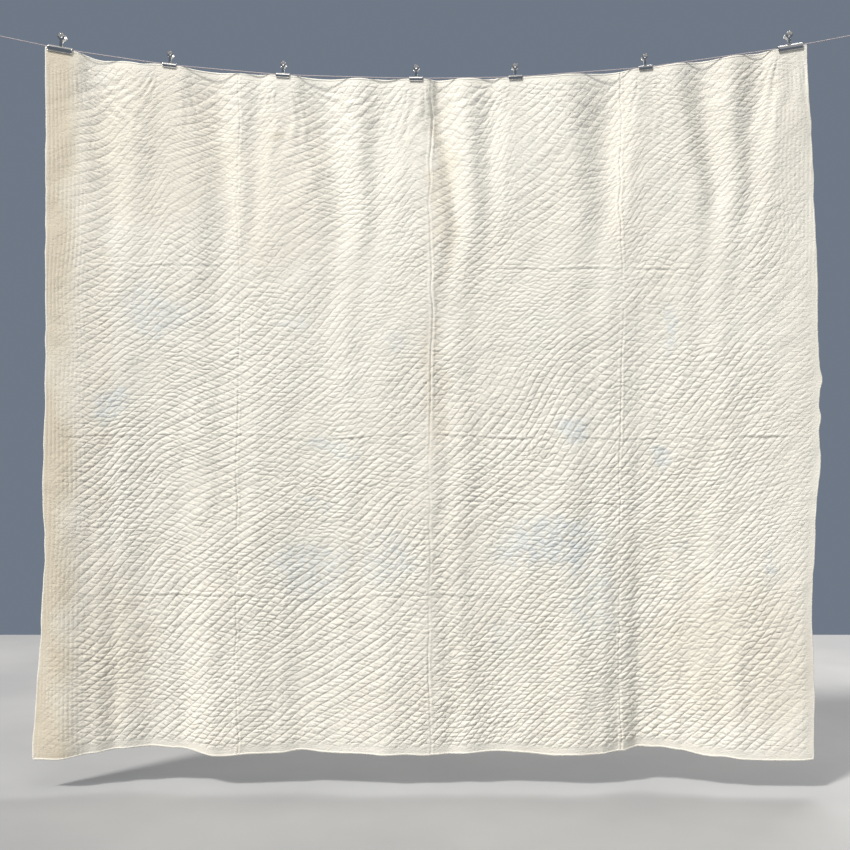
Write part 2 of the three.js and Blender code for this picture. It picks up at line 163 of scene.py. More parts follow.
# Creases from storage, folded in four each way: (place, size of the ridge, half width).
UPRIGHT_CREASES = [(-0.524, 0.0014, 0.0040), (SEAM_X, 0.0018, 0.0045), (0.548, 0.0017, 0.0040)]
LEVEL_CREASES = [
    # height from the eyes, from x, to x, size of the ridge
    (-0.652, -0.95, -0.45, 0.0013), (-0.652, 0.15, 0.80, 0.0011), (-1.128, -1.06, 1.08, 0.0013),
    (-1.310, 0.05, 0.62, 0.0012), (-1.576, -0.98, 0.20, 0.0016), (-1.576, 0.30, 1.00, 0.0010),
]

# Faded patches: (x, z, half width, half height, strength).
BLUE_PATCHES = [
    (-0.756, -0.792, 0.11, 0.060, 0.55), (-0.882, -1.030, 0.040, 0.045, 0.7),
    (-0.270, -1.156, 0.070, 0.022, 0.55), (-0.322, -1.506, 0.105, 0.070, 0.55),
    (-0.112, -1.478, 0.075, 0.065, 0.5), (0.350, -1.430, 0.150, 0.085, 0.8),
    (0.480, -1.580, 0.070, 0.110, 0.4), (0.240, -1.680, 0.060, 0.050, 0.3),
    (0.410, -1.100, 0.050, 0.040, 0.75), (0.675, -0.834, 0.022, 0.060, 0.65),
    (0.668, -1.198, 0.030, 0.035, 0.7), (0.966, -1.490, 0.022, 0.045, 0.6),
    (-0.380, -0.826, 0.045, 0.025, 0.4), (-0.095, -0.862, 0.030, 0.030, 0.35),
    (-0.310, -1.315, 0.060, 0.016, 0.4), (0.710, -1.434, 0.030, 0.030, 0.35),
]
WARM_PATCHES = [
    (-0.431, -0.302, 0.020, 0.020, 0.55), (-0.760, -0.330, 0.260, 0.230, 0.30),
    (-0.400, -0.450, 0.170, 0.240, 0.20), (-0.950, -0.800, 0.070, 0.900, 0.24),
    (1.000, -0.330, 0.110, 0.300, 0.08), (0.900, -1.740, 0.280, 0.190, 0.28),
    (-0.900, -1.740, 0.140, 0.230, 0.30), (0.045, -0.450, 0.030, 0.260, 0.34),
    (0.035, -0.980, 0.030, 0.220, 0.28), (-0.330, -0.330, 0.060, 0.140, 0.20),
    (0.560, -0.420, 0.080, 0.260, 0.10),
]


# ---------- numbers and meshes

def smooth_step(start, end, value):
    t = np.clip((value - start) / (end - start), 0, 1)
    return t * t * (3 - 2 * t)


def eased(points, x):
    """The value at x on a curve that eases from each (x, value) point to the next."""
    at, value = np.array(points, float).T
    i = np.clip(np.searchsorted(at, x) - 1, 0, len(at) - 2)
    return value[i] + (value[i + 1] - value[i]) * smooth_step(at[i], at[i + 1], x)


def noise(x, y, cell, seed):
    """Smooth random values from -1 to 1 that change over about `cell` metres."""
    lattice = np.random.default_rng(seed).uniform(-1, 1, (512, 512))
    across, down = np.asarray(x) / cell + 200, np.asarray(y) / cell + 200
    i, j = np.floor(across).astype(int), np.floor(down).astype(int)
    s, t = smooth_step(0, 1, across - i), smooth_step(0, 1, down - j)
    i, j = i % 511, j % 511
    upper = lattice[i, j] * (1 - s) + lattice[i + 1, j] * s
    lower = lattice[i, j + 1] * (1 - s) + lattice[i + 1, j + 1] * s
    return upper * (1 - t) + lower * t


def waver(along, cell, seed, apart=0.0):
    """Noise along one direction; a different `apart` gives a different run of it."""
    return noise(along, along * 0 + apart, cell, seed)


def noises(x, y, rows):
    """The sum of several noises, from rows of (size, cell, seed)."""
    return sum(size * noise(x, y, cell, SEED + seed) for size, cell, seed in rows)


def bump_at(x, place, half_width):
    """A soft bump: 1 at its place, and nearly 0 two half widths away."""
    return np.exp(-(((x - place) / half_width) ** 2))


def new_mesh(name, points, faces, material):
    """A smooth mesh from points and faces; a large grid's quads come as one array."""
    mesh = bpy.data.meshes.new(name)
    points = np.asarray(points, np.float32).reshape(-1, 3)
    if isinstance(faces, np.ndarray):
        mesh.vertices.add(len(points))
        mesh.vertices.foreach_set("co", points.ravel())
        mesh.loops.add(faces.size)
        mesh.loops.foreach_set("vertex_index", faces.ravel().astype(np.int32))
        mesh.polygons.add(len(faces))
        mesh.polygons.foreach_set("loop_start", np.arange(0, faces.size, 4, dtype=np.int32))
        mesh.update(calc_edges=True)
    else:
        mesh.from_pydata(points.tolist(), [], faces)
    mesh.polygons.foreach_set("use_smooth", [True] * len(mesh.polygons))
    mesh.materials.append(material)
    mesh.update()
    piece = bpy.data.objects.new(name, mesh)
    bpy.context.scene.collection.objects.link(piece)
    return piece


def grid_faces(rows, columns, turned=False, start=0):
    """The quads of a grid whose points run row by row, as one array."""
    i, j = np.meshgrid(np.arange(rows - 1), np.arange(columns - 1), indexing="ij")
    a = (start + i * columns + j).ravel()
    corners = [a, a + columns, a + columns + 1, a + 1]
    if turned:
        corners.reverse()
    return np.stack(corners, 1)


def apply_modifiers(piece):
    graph = bpy.context.evaluated_depsgraph_get()
    mesh = bpy.data.meshes.new_from_object(piece.evaluated_get(graph), depsgraph=graph)
    piece.modifiers.clear()
    old, piece.data = piece.data, mesh
    bpy.data.meshes.remove(old)


def add_attribute(piece, name, values):
    attribute = piece.data.attributes.new(name, "FLOAT", "POINT")
    attribute.data.foreach_set("value", np.asarray(values, np.float32).ravel())


def tube_faces(rings, sides, closed):
    """The quads between one ring of points and the next, and caps if the tube doesn't close."""
    faces = []
    for i in range(rings if closed else rings - 1):
        for j in range(sides):
            k, m = (i + 1) % rings, (j + 1) % sides
            faces.append((i * sides + j, i * sides + m, k * sides + m, k * sides + j))
    if not closed:
        faces.append(tuple(range(sides))[::-1])
        faces.append(tuple((rings - 1) * sides + j for j in range(sides)))
    return faces


def swept(name, path, ring, material, closed=False, side=None):
    """A tube along a path: `ring` gives the (side, up) offsets of the section at each point."""
    if closed:
        tangent = np.roll(path, -1, 0) - np.roll(path, 1, 0)
    else:
        tangent = np.gradient(path, axis=0)
    tangent /= np.linalg.norm(tangent, axis=1)[:, None]
    if side is None:
        side = np.cross(tangent, (0.0, 0.0, 1.0))
        weak = np.linalg.norm(side, axis=1) < 0.2
        side[weak] = np.cross(tangent[weak], (0.0, 1.0, 0.0))
        side /= np.linalg.norm(side, axis=1)[:, None]
    up = np.cross(side, tangent)
    points = path[:, None] + ring[:, :, :1] * side[:, None] + ring[:, :, 1:] * up[:, None]
    return new_mesh(name, points, tube_faces(len(path), ring.shape[1], closed), material)


def with_ends(places):
    """The same places, with one more step at each end."""
    first, last = 2 * places[0] - places[1], 2 * places[-1] - places[-2]
    return np.concatenate([[first], places, [last]])


def smooth_through(points, steps):
    """A Catmull-Rom curve through the points, with `steps` stretches between each two."""
    p = with_ends(np.asarray(points, float))
    out = []
    for i in range(1, len(p) - 2):
        for t in np.arange(steps) / steps:
            a, b, c, d = p[i - 1], p[i], p[i + 1], p[i + 2]
            out.append(0.5 * (2 * b + (c - a) * t + (2 * a - 5 * b + 4 * c - d) * t ** 2
                              + (3 * b - a - 3 * c + d) * t ** 3))
    out.append(p[-2])
    return np.array(out)


# ---------- materials

class Nodes:
    """A material's node tree, with short calls that add nodes and link them."""

    def __init__(self, name):
        self.material = bpy.data.materials.new(name)
        self.material.use_nodes = True
        self.tree = self.material.node_tree
        self.shader = self.tree.nodes["Principled BSDF"]

    def link(self, source, target):
        self.tree.links.new(source, target)

    def put(self, socket, value):
        if isinstance(value, bpy.types.NodeSocket):
            self.link(value, socket)
        else:
            socket.default_value = value

    def place(self, scale=(1, 1, 1)):
        coordinates = self.tree.nodes.new("ShaderNodeTexCoord")
        mapping = self.tree.nodes.new("ShaderNodeMapping")
        mapping.inputs["Scale"].default_value = scale
        self.link(coordinates.outputs["Object"], mapping.inputs["Vector"])
        return mapping.outputs["Vector"]

    def noise(self, scale, detail=2.0, rough=0.5, stretch=(1, 1, 1)):
        node = self.tree.nodes.new("ShaderNodeTexNoise")
        node.inputs["Scale"].default_value = scale
        node.inputs["Detail"].default_value = detail
        node.inputs["Roughness"].default_value = rough
        self.link(self.place(stretch), node.inputs["Vector"])
        return node.outputs["Fac"]

    def attribute(self, name):
        node = self.tree.nodes.new("ShaderNodeAttribute")
        node.attribute_name = name
        return node.outputs["Fac"]

    def math(self, operation, a, b=0.0):
        node = self.tree.nodes.new("ShaderNodeMath")
        node.operation = operation
        self.put(node.inputs[0], a)
        self.put(node.inputs[1], b)
        return node.outputs[0]

    def span(self, value, low, high, to_low=0.0, to_high=1.0):
        node = self.tree.nodes.new("ShaderNodeMapRange")
        self.put(node.inputs["Value"], value)
        for name, number in (
            ("From Min", low), ("From Max", high), ("To Min", to_low), ("To Max", to_high),
        ):
            node.inputs[name].default_value = number
        return node.outputs["Result"]

    def mix(self, share, a, b):
        node = self.tree.nodes.new("ShaderNodeMix")
        node.data_type = "RGBA"
        self.put(node.inputs["Factor"], share)
        self.put(node.inputs["A"], a)
        self.put(node.inputs["B"], b)
        return node.outputs["Result"]

    def bump(self, height, distance, strength, below=None):
        node = self.tree.nodes.new("ShaderNodeBump")
        node.inputs["Strength"].default_value = strength
        node.inputs["Distance"].default_value = distance
        self.link(height, node.inputs["Height"])
        if below is not None:
            self.link(below, node.inputs["Normal"])
        return node.outputs["Normal"]

    def line_mask(self, phase, sharpness):
        """1 on the whole numbers of a phase and 0 half-way between them."""
        doubled = self.math("MULTIPLY", self.math("FRACT", phase), 2.0)
        folded = self.math("ABSOLUTE", self.math("SUBTRACT", doubled, 1.0))
        return self.math("POWER", folded, sharpness)

    def finish(self, colour, roughness, normal=None, **settings):
        """Gives the shader its inputs, and returns the material."""
        self.put(self.shader.inputs["Base Color"], colour)
        self.put(self.shader.inputs["Roughness"], roughness)
        if normal is not None:
            self.link(normal, self.shader.inputs["Normal"])
        for name, value in settings.items():
            self.shader.inputs[name.replace("_", " ")].default_value = value
        return self.material


CREAM, PALE = (0.800, 0.770, 0.685, 1), (0.84, 0.83, 0.78, 1)
WARM, COOL = (0.615, 0.545, 0.425, 1), (0.590, 0.635, 0.650, 1)
FLECK_GREY, SEAM_SHADE_AND_DIRT_GREY = (0.560, 0.530, 0.465, 1), (0.40, 0.37, 0.32, 1)
THREAD = (0.82, 0.79, 0.71, 1)


def cotton(name, quilted):
    """Washed cream cotton: a fine weave, crinkles, faded patches, and the seams in the quilting darkened with
    painted shade and some dirt.
    """
    n = Nodes(name)
    cloud = n.span(n.noise(2.6, 3.0, 0.6), 0.38, 0.72, 0.0, 0.16)
    colour = n.mix(cloud, CREAM, WARM)
    pale = n.span(n.noise(5.5, 4.0, 0.6), 0.50, 0.75, 0.0, 0.25)
    colour = n.mix(pale, colour, PALE)
    fleck = n.span(n.noise(900.0, 1.0), 0.35, 0.65, 0.0, 0.10)
    colour = n.mix(fleck, colour, FLECK_GREY)

    weave_across = n.noise(1.0, 0.0, 0.5, (2600, 600, 500))
    weave_down = n.noise(1.0, 0.0, 0.5, (500, 600, 2600))
    weave = n.math("ADD", weave_across, weave_down)
    normal = n.bump(weave, 0.00012, 0.5)
    crinkle = n.noise(1.0, 1.2, 0.45, (150, 170, 250))
    normal = n.bump(crinkle, 0.0016, 0.7, normal)
    if quilted:
        ragged = n.span(n.noise(60.0, 3.0, 0.6), 0.35, 0.65, 0.15, 1.0)
        # Yellowing and stains; down the left edge the warm colour is also painted shade of the ripples there.
        warm_share = n.math("MULTIPLY", n.attribute("warm"), 0.95)
        colour = n.mix(warm_share, colour, WARM)
        blue_share = n.math("MULTIPLY", n.attribute("blue"), ragged)
        colour = n.mix(blue_share, colour, COOL)
        slanting = n.line_mask(n.attribute("slanting"), 8.0)
        level = n.line_mask(n.attribute("level"), 6.0)
        faint = n.span(n.noise(24.0, 2.0), 0.35, 0.65, 0.25, 0.85)
        seam = n.math("MAXIMUM", slanting, n.math("MULTIPLY", level, faint))
        seam = n.math("MULTIPLY", seam, n.attribute("quilted"))
        # Painted shade with some dirt: the seams' grooves are darkened in the colour as well as hollowed by the
        # bump below.
        colour = n.mix(n.math("MULTIPLY", seam, 0.42), colour, SEAM_SHADE_AND_DIRT_GREY)
        hollow = n.math("SUBTRACT", 1.0, seam)
        normal = n.bump(hollow, 0.0014, 0.8, normal)
        # A running stitch about every 3 mm, along the middle of the slanting rows.
        row_middle = n.line_mask(n.attribute("slanting"), 22.0)
        stitches = n.math("MULTIPLY", n.attribute("level"), STITCHES_PER_LEVEL_ROW)
        dash = n.line_mask(stitches, 0.6)
        thread = n.math("MULTIPLY", n.span(row_middle, 0.35, 0.55), n.span(dash, 0.45, 0.62))
        thread = n.math("MULTIPLY", thread, n.span(n.attribute("quilted"), 0.05, 0.25))
        colour = n.mix(n.math("MULTIPLY", thread, 0.85), colour, THREAD)
        normal = n.bump(thread, 0.0007, 0.9, normal)
    roughness = n.span(crinkle, 0.3, 0.7, 0.84, 0.95)
    return n.finish(colour, roughness, normal, Sheen_Weight=0.15, Sheen_Roughness=0.5,
                    Specular_IOR_Level=0.25)


def metal(name, colour, rough_low, rough_high, scratch):
    """Plated steel: a clouded polish, fine scratches and a few dull spots."""
    n = Nodes(name)
    dull = tuple(0.78 * c for c in colour[:3]) + (1,)
    spots = n.span(n.noise(420.0, 4.0, 0.65), 0.52, 0.70, 0.0, 0.6)
    roughness = n.span(n.noise(160.0, 3.0, 0.6), 0.3, 0.7, rough_low, rough_high)
    scratches = n.bump(n.noise(1.0, 2.0, 0.5, (300, 300, 3000)), 0.00004, scratch)
    return n.finish(n.mix(spots, colour, dull), roughness, scratches, Metallic=1.0)


def line_fibre():
    """The line's laid strands: grey-mauve fibres with a little fuzz."""
    n = Nodes("line fibre")
    fibres = n.noise(1.0, 2.0, 0.6, (900, 4000, 4000))
    colour = n.mix(n.span(fibres, 0.35, 0.65), (0.30, 0.265, 0.275, 1), (0.52, 0.475, 0.485, 1))
    roughness = n.span(fibres, 0.3, 0.7, 0.6, 0.85)
    return n.finish(colour, roughness, n.bump(fibres, 0.0003, 0.7), Sheen_Weight=0.1)


def wadding_fibre():
    """Cotton wadding: soft, pale and matted."""
    n = Nodes("wadding fibre")
    mat = n.noise(180.0, 5.0, 0.7)
    colour = n.mix(n.span(mat, 0.3, 0.7), (0.80, 0.78, 0.71, 1), (0.90, 0.89, 0.84, 1))
    return n.finish(colour, n.span(mat, 0.3, 0.7, 0.9, 1.0), n.bump(mat, 0.002, 0.8))


def plain_floor():
    n = Nodes("studio floor")
    cloud = n.span(n.noise(1.4, 3.0, 0.5), 0.35, 0.65)
    return n.finish(n.mix(cloud, (0.275, 0.275, 0.28, 1), (0.32, 0.32, 0.32, 1)), 0.75)


COTTON_FACE = cotton("cream cotton, quilted face", True)
COTTON_HEM = cotton("cream cotton, hem", False)
NICKEL = metal("bright nickel", (0.60, 0.585, 0.56, 1), 0.07, 0.20, 0.35)
ZINC = metal("zinc plate", (0.60, 0.62, 0.64, 1), 0.30, 0.48, 0.6)
CRIMPED = metal("crimped aluminium", (0.66, 0.67, 0.68, 1), 0.35, 0.55, 0.8)


# ---------- camera and light

CAMERA_DISTANCE = 3.305
CAMERA_HEIGHT = -1.100
CAMERA_LENS, CAMERA_SENSOR = 50, 36
FLOOR_BELOW_HEM = 0.100
FLOOR_HALF_WIDTH, FLOOR_DEPTH = 5.0, 2.4


def place_camera():
    data = bpy.data.cameras.new("camera")
    data.sensor_width = CAMERA_SENSOR
    data.lens = CAMERA_LENS
    camera = bpy.data.objects.new("camera", data)
    camera.location = (MID_X, -CAMERA_DISTANCE, CAMERA_HEIGHT)
    camera.rotation_euler = (math.radians(90), 0, 0)
    bpy.context.scene.collection.objects.link(camera)
    bpy.context.scene.camera = camera


def add_light(name, kind, place, aim, power, colour):
    """A light at a place, shining along `aim`."""
    data = bpy.data.lights.new(name, kind)
    data.energy = power
    data.color = colour
    lamp = bpy.data.objects.new(name, data)
    lamp.location = place
    lamp.rotation_euler = aim.to_track_quat("-Z", "Y").to_euler()
    bpy.context.scene.collection.objects.link(lamp)
    return data


def area_light(name, place, target, size, power, colour):
    data = add_light(name, "AREA", place, Vector(target) - Vector(place), power, colour)
    data.shape = "SQUARE"
    data.size = size


def sun(name, towards, angle, strength, colour):
    """Even light from one direction: `towards` leads from the quilt to the light."""
    data = add_light(name, "SUN", (0, 0, 0), -Vector(towards), strength, colour)
    data.angle = math.radians(angle)


def light_studio():
    """A plain grey room with a soft bright ceiling, and a key light from the upper left."""
    world = bpy.data.worlds.new("studio")
    bpy.context.scene.world = world
    world.use_nodes = True
    tree = world.node_tree
    link = tree.links.new
    direction = tree.nodes.new("ShaderNodeTexCoord")
    axes = tree.nodes.new("ShaderNodeSeparateXYZ")
    height = tree.nodes.new("ShaderNodeMapRange")
    height.interpolation_type = "SMOOTHSTEP"
    height.inputs["From Min"].default_value = 0.36
    height.inputs["From Max"].default_value = 0.95
    mix = tree.nodes.new("ShaderNodeMix")
    mix.data_type = "RGBA"
    mix.inputs["A"].default_value = (0.16, 0.19, 0.24, 1)
    mix.inputs["B"].default_value = (0.80, 0.80, 0.79, 1)
    link(direction.outputs["Generated"], axes.inputs["Vector"])
    link(axes.outputs["Z"], height.inputs["Value"])
    link(height.outputs["Result"], mix.inputs["Factor"])
    link(mix.outputs["Result"], tree.nodes["Background"].inputs["Color"])
    middle = (MID_X, 0, -1.05)
    sun("key", (-0.46, -0.45, 0.77), 7, 3.78, (1.0, 0.975, 0.93))
    area_light("fill", (MID_X + 2.4, -3.4, 0.5), middle, 2.4, 6, (0.95, 0.97, 1.0))
    area_light("top", (MID_X - 0.4, -1.6, 0.9), (MID_X, 0, -0.5), 1.4, 16, (1.0, 0.98, 0.945))
    area_light("back", (MID_X + 2.0, 3.0, 1.9), middle, 2.2, 150, (1.0, 0.98, 0.95))
    bpy.context.scene.view_settings.view_transform = "Standard"


def lay_floor():
    floor_height = HEM_HEIGHT - FLOOR_BELOW_HEM
    ends = ((-FLOOR_HALF_WIDTH, -FLOOR_DEPTH), (FLOOR_HALF_WIDTH, -FLOOR_DEPTH),
            (FLOOR_HALF_WIDTH, FLOOR_DEPTH), (-FLOOR_HALF_WIDTH, FLOOR_DEPTH))
    corners = [(MID_X + x, y, floor_height) for x, y in ends]
    new_mesh("studio_floor", corners, [(0, 1, 2, 3)], plain_floor())


place_camera()
light_studio()
lay_floor()


# ---------- the line

def end_of_line(side):
    """The eye at one end, the way the line leaves it, and where the line's straight run starts."""
    clip = LINE_CORNERS[0] if side < 0 else LINE_CORNERS[-1]
    hook = np.array([side * HOOK_X, 0, 0])
    direction = np.array([clip[0] - side * HOOK_X, 0, clip[1]])
    direction /= np.linalg.norm(direction)
    return hook, direction, hook + direction * LINE_START


def line_route():
    """The line's corners, each eased by two points LINE_BEND away from it."""
    corners = [end_of_line(-1)[2]] + [np.array([x, 0, z]) for x, z in LINE_CORNERS]
    corners.append(end_of_line(1)[2])
    points = [corners[0]]
    for i in range(1, len(corners) - 1):
        for other in (corners[i - 1], corners[i + 1]):
            along = other - corners[i]
            points.append(corners[i] + along * LINE_BEND / np.linalg.norm(along))
    points.append(corners[-1])
    return np.array(points) + (MID_X, 0, 0)


def even_steps(points, step):
    """The same route with a point every `step` metres."""
    gaps = np.linalg.norm(np.diff(points, axis=0), axis=1)
    along = np.concatenate([[0], np.cumsum(gaps)])
    places = np.linspace(0, along[-1], int(along[-1] / step) + 1)
    return np.stack([np.interp(places, along, points[:, k]) for k in range(3)], 1), along[-1]


def laid_rope(name, route, diameter):
    """Three strands laid together: a lobed section that turns as it goes."""
    step = diameter * 0.5
    path, length = even_steps(route, step)
    angle = np.linspace(0, 2 * math.pi, ROPE_SIDES, endpoint=False)
    lobes = 1 - ROPE_GROOVE + ROPE_GROOVE * np.abs(np.cos(1.5 * angle))
    turn = 2 * math.pi * np.arange(len(path)) * step / (DIAMETERS_PER_LAY * diameter)
    radius = lobes[None] * diameter / 2 * 1.03
    around = angle[None] + turn[:, None]
    ring = np.stack([np.cos(around) * radius, np.sin(around) * radius], 2)
    return swept(name, path, ring, LINE_MATERIAL), path, length


LINE_MATERIAL = line_fibre()
route = smooth_through(line_route(), 6)
line, line_path, line_length = laid_rope("taut_line", route, LINE_DIAMETER)
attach(line, HANGING)
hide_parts("hanging_line")


# ---------- the clips

def clip_matrix(number, clip_side):
    """The clip's own frame: x along the line, y to the back, z up, from the crown of its spring.

    Pieces are drawn for the rear of a clip, and the front ones are turned round.
    """
    hinges = {j["name"]: j for j in frame["joints"]}
    front, rear = (hinges[f"clip_{number}_{side}_jaw"] for side in ("front", "rear"))
    crown = (Vector(front["pos_m"]) + Vector(rear["pos_m"])) / 2
    x = Vector(rear["axis"]).normalized()
    y = Vector((0, 1, 0))
    turned = Matrix.Rotation(math.pi if clip_side == "front" else 0, 4, "Z")
    return Matrix.Translation(crown) @ Matrix((x, y, x.cross(y))).transposed().to_4x4() @ turned


def jaw_middle(size):
    """The middle of the rear lever's jaw as (y, z), from under the crown to its lip."""
    k = size["scale"]
    jaw = JAW_HALF_GAP + size["sheet"] / 2
    return [
        (STEM_GAP + 0.0001, -0.0015 * k), (0.0032 * k, -0.0026 * k), (0.0040 * k, -0.0048 * k),
        (0.0032 * k, -0.0084 * k), (jaw, -0.0116 * k), (jaw + 0.0015, -0.0137 * k),
    ]


def bent_sheet(middle, across, keep=None):
    """A bent sheet as a grid: `middle` is (y, z) along the bend and `across` the x places."""
    middle, across = np.asarray(middle), np.asarray(across)
    points = np.zeros((len(middle), len(across), 3))
    points[:, :, 0] = across[None]
    points[:, :, 1] = middle[:, :1]
    points[:, :, 2] = middle[:, 1:]
    faces = grid_faces(len(middle), len(across))
    if keep is not None:
        centres = points.reshape(-1, 3)[faces].mean(1)
        faces = faces[[keep(*at) for at in centres]]
    return points.reshape(-1, 3), faces


def plate(name, points, faces, thickness, material, edge):
    """Gives a bent sheet its thickness, rounds its edges and drops the points it doesn't use."""
    piece = new_mesh(name, points, faces, material)
    work = bmesh.new()
    work.from_mesh(piece.data)
    bmesh.ops.delete(work, geom=[v for v in work.verts if not v.link_faces], context="VERTS")
    work.to_mesh(piece.data)
    work.free()
    solid = piece.modifiers.new("thickness", "SOLIDIFY")
    solid.thickness = thickness
    solid.offset = 0
    solid.use_even_offset = True
    bevel = piece.modifiers.new("edge", "BEVEL")
    bevel.width = edge
    bevel.segments = 2
    bevel.limit_method = "ANGLE"
    bevel.angle_limit = SHARP_TURN
    apply_modifiers(piece)
    piece.data.set_sharp_from_angle(angle=SHARP_TURN)
    return piece


def tab_ring(size, centre, lean):
    """The pierced round finger tab, its rim rolled a little proud of the middle."""
    half = size["sheet"] / 2
    inner, outer = size["hole"], size["tab"]
    profile = [
        (inner, half * 0.6), (inner + 0.0003, half), (outer - 0.0016, half),
        (outer - 0.0010, half * 1.5), (outer - 0.0004, half * 1.4), (outer, half * 0.6),
    ]
    profile = profile + [(r, -h) for r, h in reversed(profile)]
    tilt = Matrix.Translation((0, *centre)) @ Matrix.Rotation(math.pi / 2 - lean, 4, "X")
    points = []
    for angle in 2 * math.pi * np.arange(TAB_STEPS) / TAB_STEPS:
        for r, h in profile:
            points.append(tilt @ Vector((r * math.cos(angle), r * math.sin(angle), h)))
    faces = tube_faces(TAB_STEPS, len(profile), closed=True)
    return points, [face[::-1] for face in faces]


def join_pieces(name, pieces):
    """One mesh from several, in the first one's place."""
    with bpy.context.temp_override(
        active_object=pieces[0], object=pieces[0], selected_editable_objects=pieces,
        selected_objects=pieces,
    ):
        bpy.ops.object.join()
    pieces[0].name = name
    pieces[0].data.name = name
    return pieces[0]


def make_lever(number, side):
    """One lever: a bent jaw, a stem that leans out of the crown's slot, and a pierced tab."""
    size = SIZES[number - 1]
    k = size["scale"]
    half = size["width"] / 2 - 0.001
    across = np.linspace(-half, half, 13)
    jaw = plate("jaw", *bent_sheet(smooth_through(jaw_middle(size), 5), across), size["sheet"],
                NICKEL, LEVER_EDGE)
    centre = (TAB_OUT, size["tab_height"])
    top = (STEM_TOP_OUT, size["tab_height"] - STEM_TOP_BELOW_TAB)
    neck = (top[0] + 0.35 * (centre[0] - top[0]), top[1] + 0.35 * (centre[1] - top[1]))
    root = [(STEM_GAP + 0.00015, -0.0018 * k), (STEM_GAP, 0), (STEM_GAP + 0.0018, 0.007)]
    stem_line = smooth_through(root + [top, neck], 5)
    stem = plate("stem", *bent_sheet(stem_line, np.linspace(-1, 1, 5) * size["stem"] / 2),
                 size["sheet"] * 0.92, NICKEL, LEVER_EDGE)
    lean = math.atan2(centre[0] - top[0], centre[1] - top[1])
    tab = new_mesh("tab", *tab_ring(size, centre, lean), NICKEL)
    tab.data.set_sharp_from_angle(angle=math.radians(60))
    lever = join_pieces(f"clip_{number}_{side}_lever_metal", [jaw, stem, tab])
    lever.data.transform(clip_matrix(number, side))
    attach(lever, f"clip_{number}_{side}_lever")
    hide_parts(f"clip_{number}_{side}_lever")


def make_spring_half(number, side):
    """Half of the rolled spring, from the middle of its crown to one lip."""
    size = SIZES[number - 1]
    k = size["scale"]
    sheet = SPRING_SHEET * k
    clear = size["sheet"] / 2 + sheet / 2 + SPRING_CLEARANCE
    middle = smooth_through(jaw_middle(size), 6)[12:]
    run = np.gradient(middle, axis=0)
    run /= np.linalg.norm(run, axis=1)[:, None]
    side_line = middle + np.stack([-run[:, 1], run[:, 0]], 1) * clear
    shoulder = side_line[0]
    angle = np.linspace(math.pi / 2, 0, 13)[:-1]
    arc = np.stack([shoulder[0] * np.cos(angle), shoulder[1] * (1 - np.sin(angle))], 1)
    slot_half = size["stem"] / 2 + SLOT_CLEARANCE
    slot_depth = STEM_GAP + size["sheet"] / 2 + SLOT_CLEARANCE
    half = size["width"] / 2
    across = np.unique(np.concatenate([
        np.linspace(-half, -slot_half, 7), np.linspace(-slot_half, slot_half, 4),
        np.linspace(slot_half, half, 7)]).round(7))
    points, faces = bent_sheet(
        np.concatenate([arc, side_line]), across,
        lambda x, y, z: abs(x) > slot_half or y > slot_depth or z < -0.002 * k)
    piece = plate(f"clip_{number}_spring_{side}", points, faces, sheet, NICKEL, SPRING_EDGE)
    to_clip = clip_matrix(number, side)
    piece.data.transform(to_clip)
    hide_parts(f"clip_{number}_spring")
    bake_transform(piece)


for clip_number in range(1, 8):
    for clip_side in ("front", "rear"):
        make_lever(clip_number, clip_side)
        make_spring_half(clip_number, clip_side)


# ---------- the quilt's shape

LEFT, RIGHT = LEFT_EDGE[0][1], RIGHT_EDGE[0][1]
LINE_HEIGHTS = [(-HOOK_X, 0)] + LINE_CORNERS + [(HOOK_X, 0)]
CLIP_GAPS = [(left, right) for (left, _), (right, _) in zip(LINE_CORNERS[:-1], LINE_CORNERS[1:])]


def line_height(x):
    at, height = np.array(LINE_HEIGHTS).T
    return np.interp(x, at, height)


def away_from_clips(x, reach=0.040):
    """0 across each clip and 1 from `reach` beyond its ends."""
    away = np.ones_like(x)
    for (clip_x, _), size in zip(LINE_CORNERS, SIZES):
        held = size["width"] / 2 + FLAT_BESIDE_CLIP
        away = np.minimum(away, smooth_step(held, held + reach, np.abs(x - clip_x)))
    return away


def looseness(x, down):
    """0 where a clip holds the cloth flat and 1 where it hangs free."""
    away = away_from_clips(x)
    return away + (1 - away) * smooth_step(BITE_DEPTH, BITE_DEPTH + 0.110, down)


def narrowed(x, down):
    """Where x falls in folds that close up downwards, from the whole gap between two clips."""
    out = x.copy()
    for left, right in CLIP_GAPS:
        centre, half = (left + right) / 2, (right - left) / 2
        share = (x - centre) / half
        closed = np.clip(share * (1 + 0.6 * smooth_step(0.02, 0.45, down)), -1, 1)
        out = np.where(np.abs(share) <= 1, centre + half * closed, out)
    return out


def gripped(x, down):
    """0 in a clip's jaws and 1 just below them."""
    away = away_from_clips(x, 0.010)
    return away + (1 - away) * smooth_step(0.010, 0.024, down)


def broad_folds(x, down):
    """The folds between the clips, a long valley, and the waves that grow to the hem."""
    opening = TOP_FOLD_AT_EDGE + (1 - TOP_FOLD_AT_EDGE) * smooth_step(0, TOP_FOLD_FULL_AT, down)
    fading = 1 - (1 - TOP_FOLD_AT_HEM) * smooth_step(0.06, 0.58, down)
    wander = 0.030 * waver(down, 0.35, SEED + 90) * smooth_step(0.1, 0.4, down)
    top = eased(TOP_FOLDS, narrowed(x + wander, down)) * looseness(x, down) * opening * fading
    top = top * TOP_FOLD_DEPTH
    valley = bump_at(x, LONG_VALLEY[0] + LONG_VALLEY[1] * down, 0.050) * smooth_step(0.3, 0.6, down)
    top = top + LONG_VALLEY_DEPTH * valley * smooth_step(1.75, 1.2, down)
    growth = (down / QUILT_LENGTH) ** 2.0 * smooth_step(0, HEM_FOLD_STARTS, down)
    return top + eased(HEM_FOLDS, x) * np.clip(growth, 0, None)


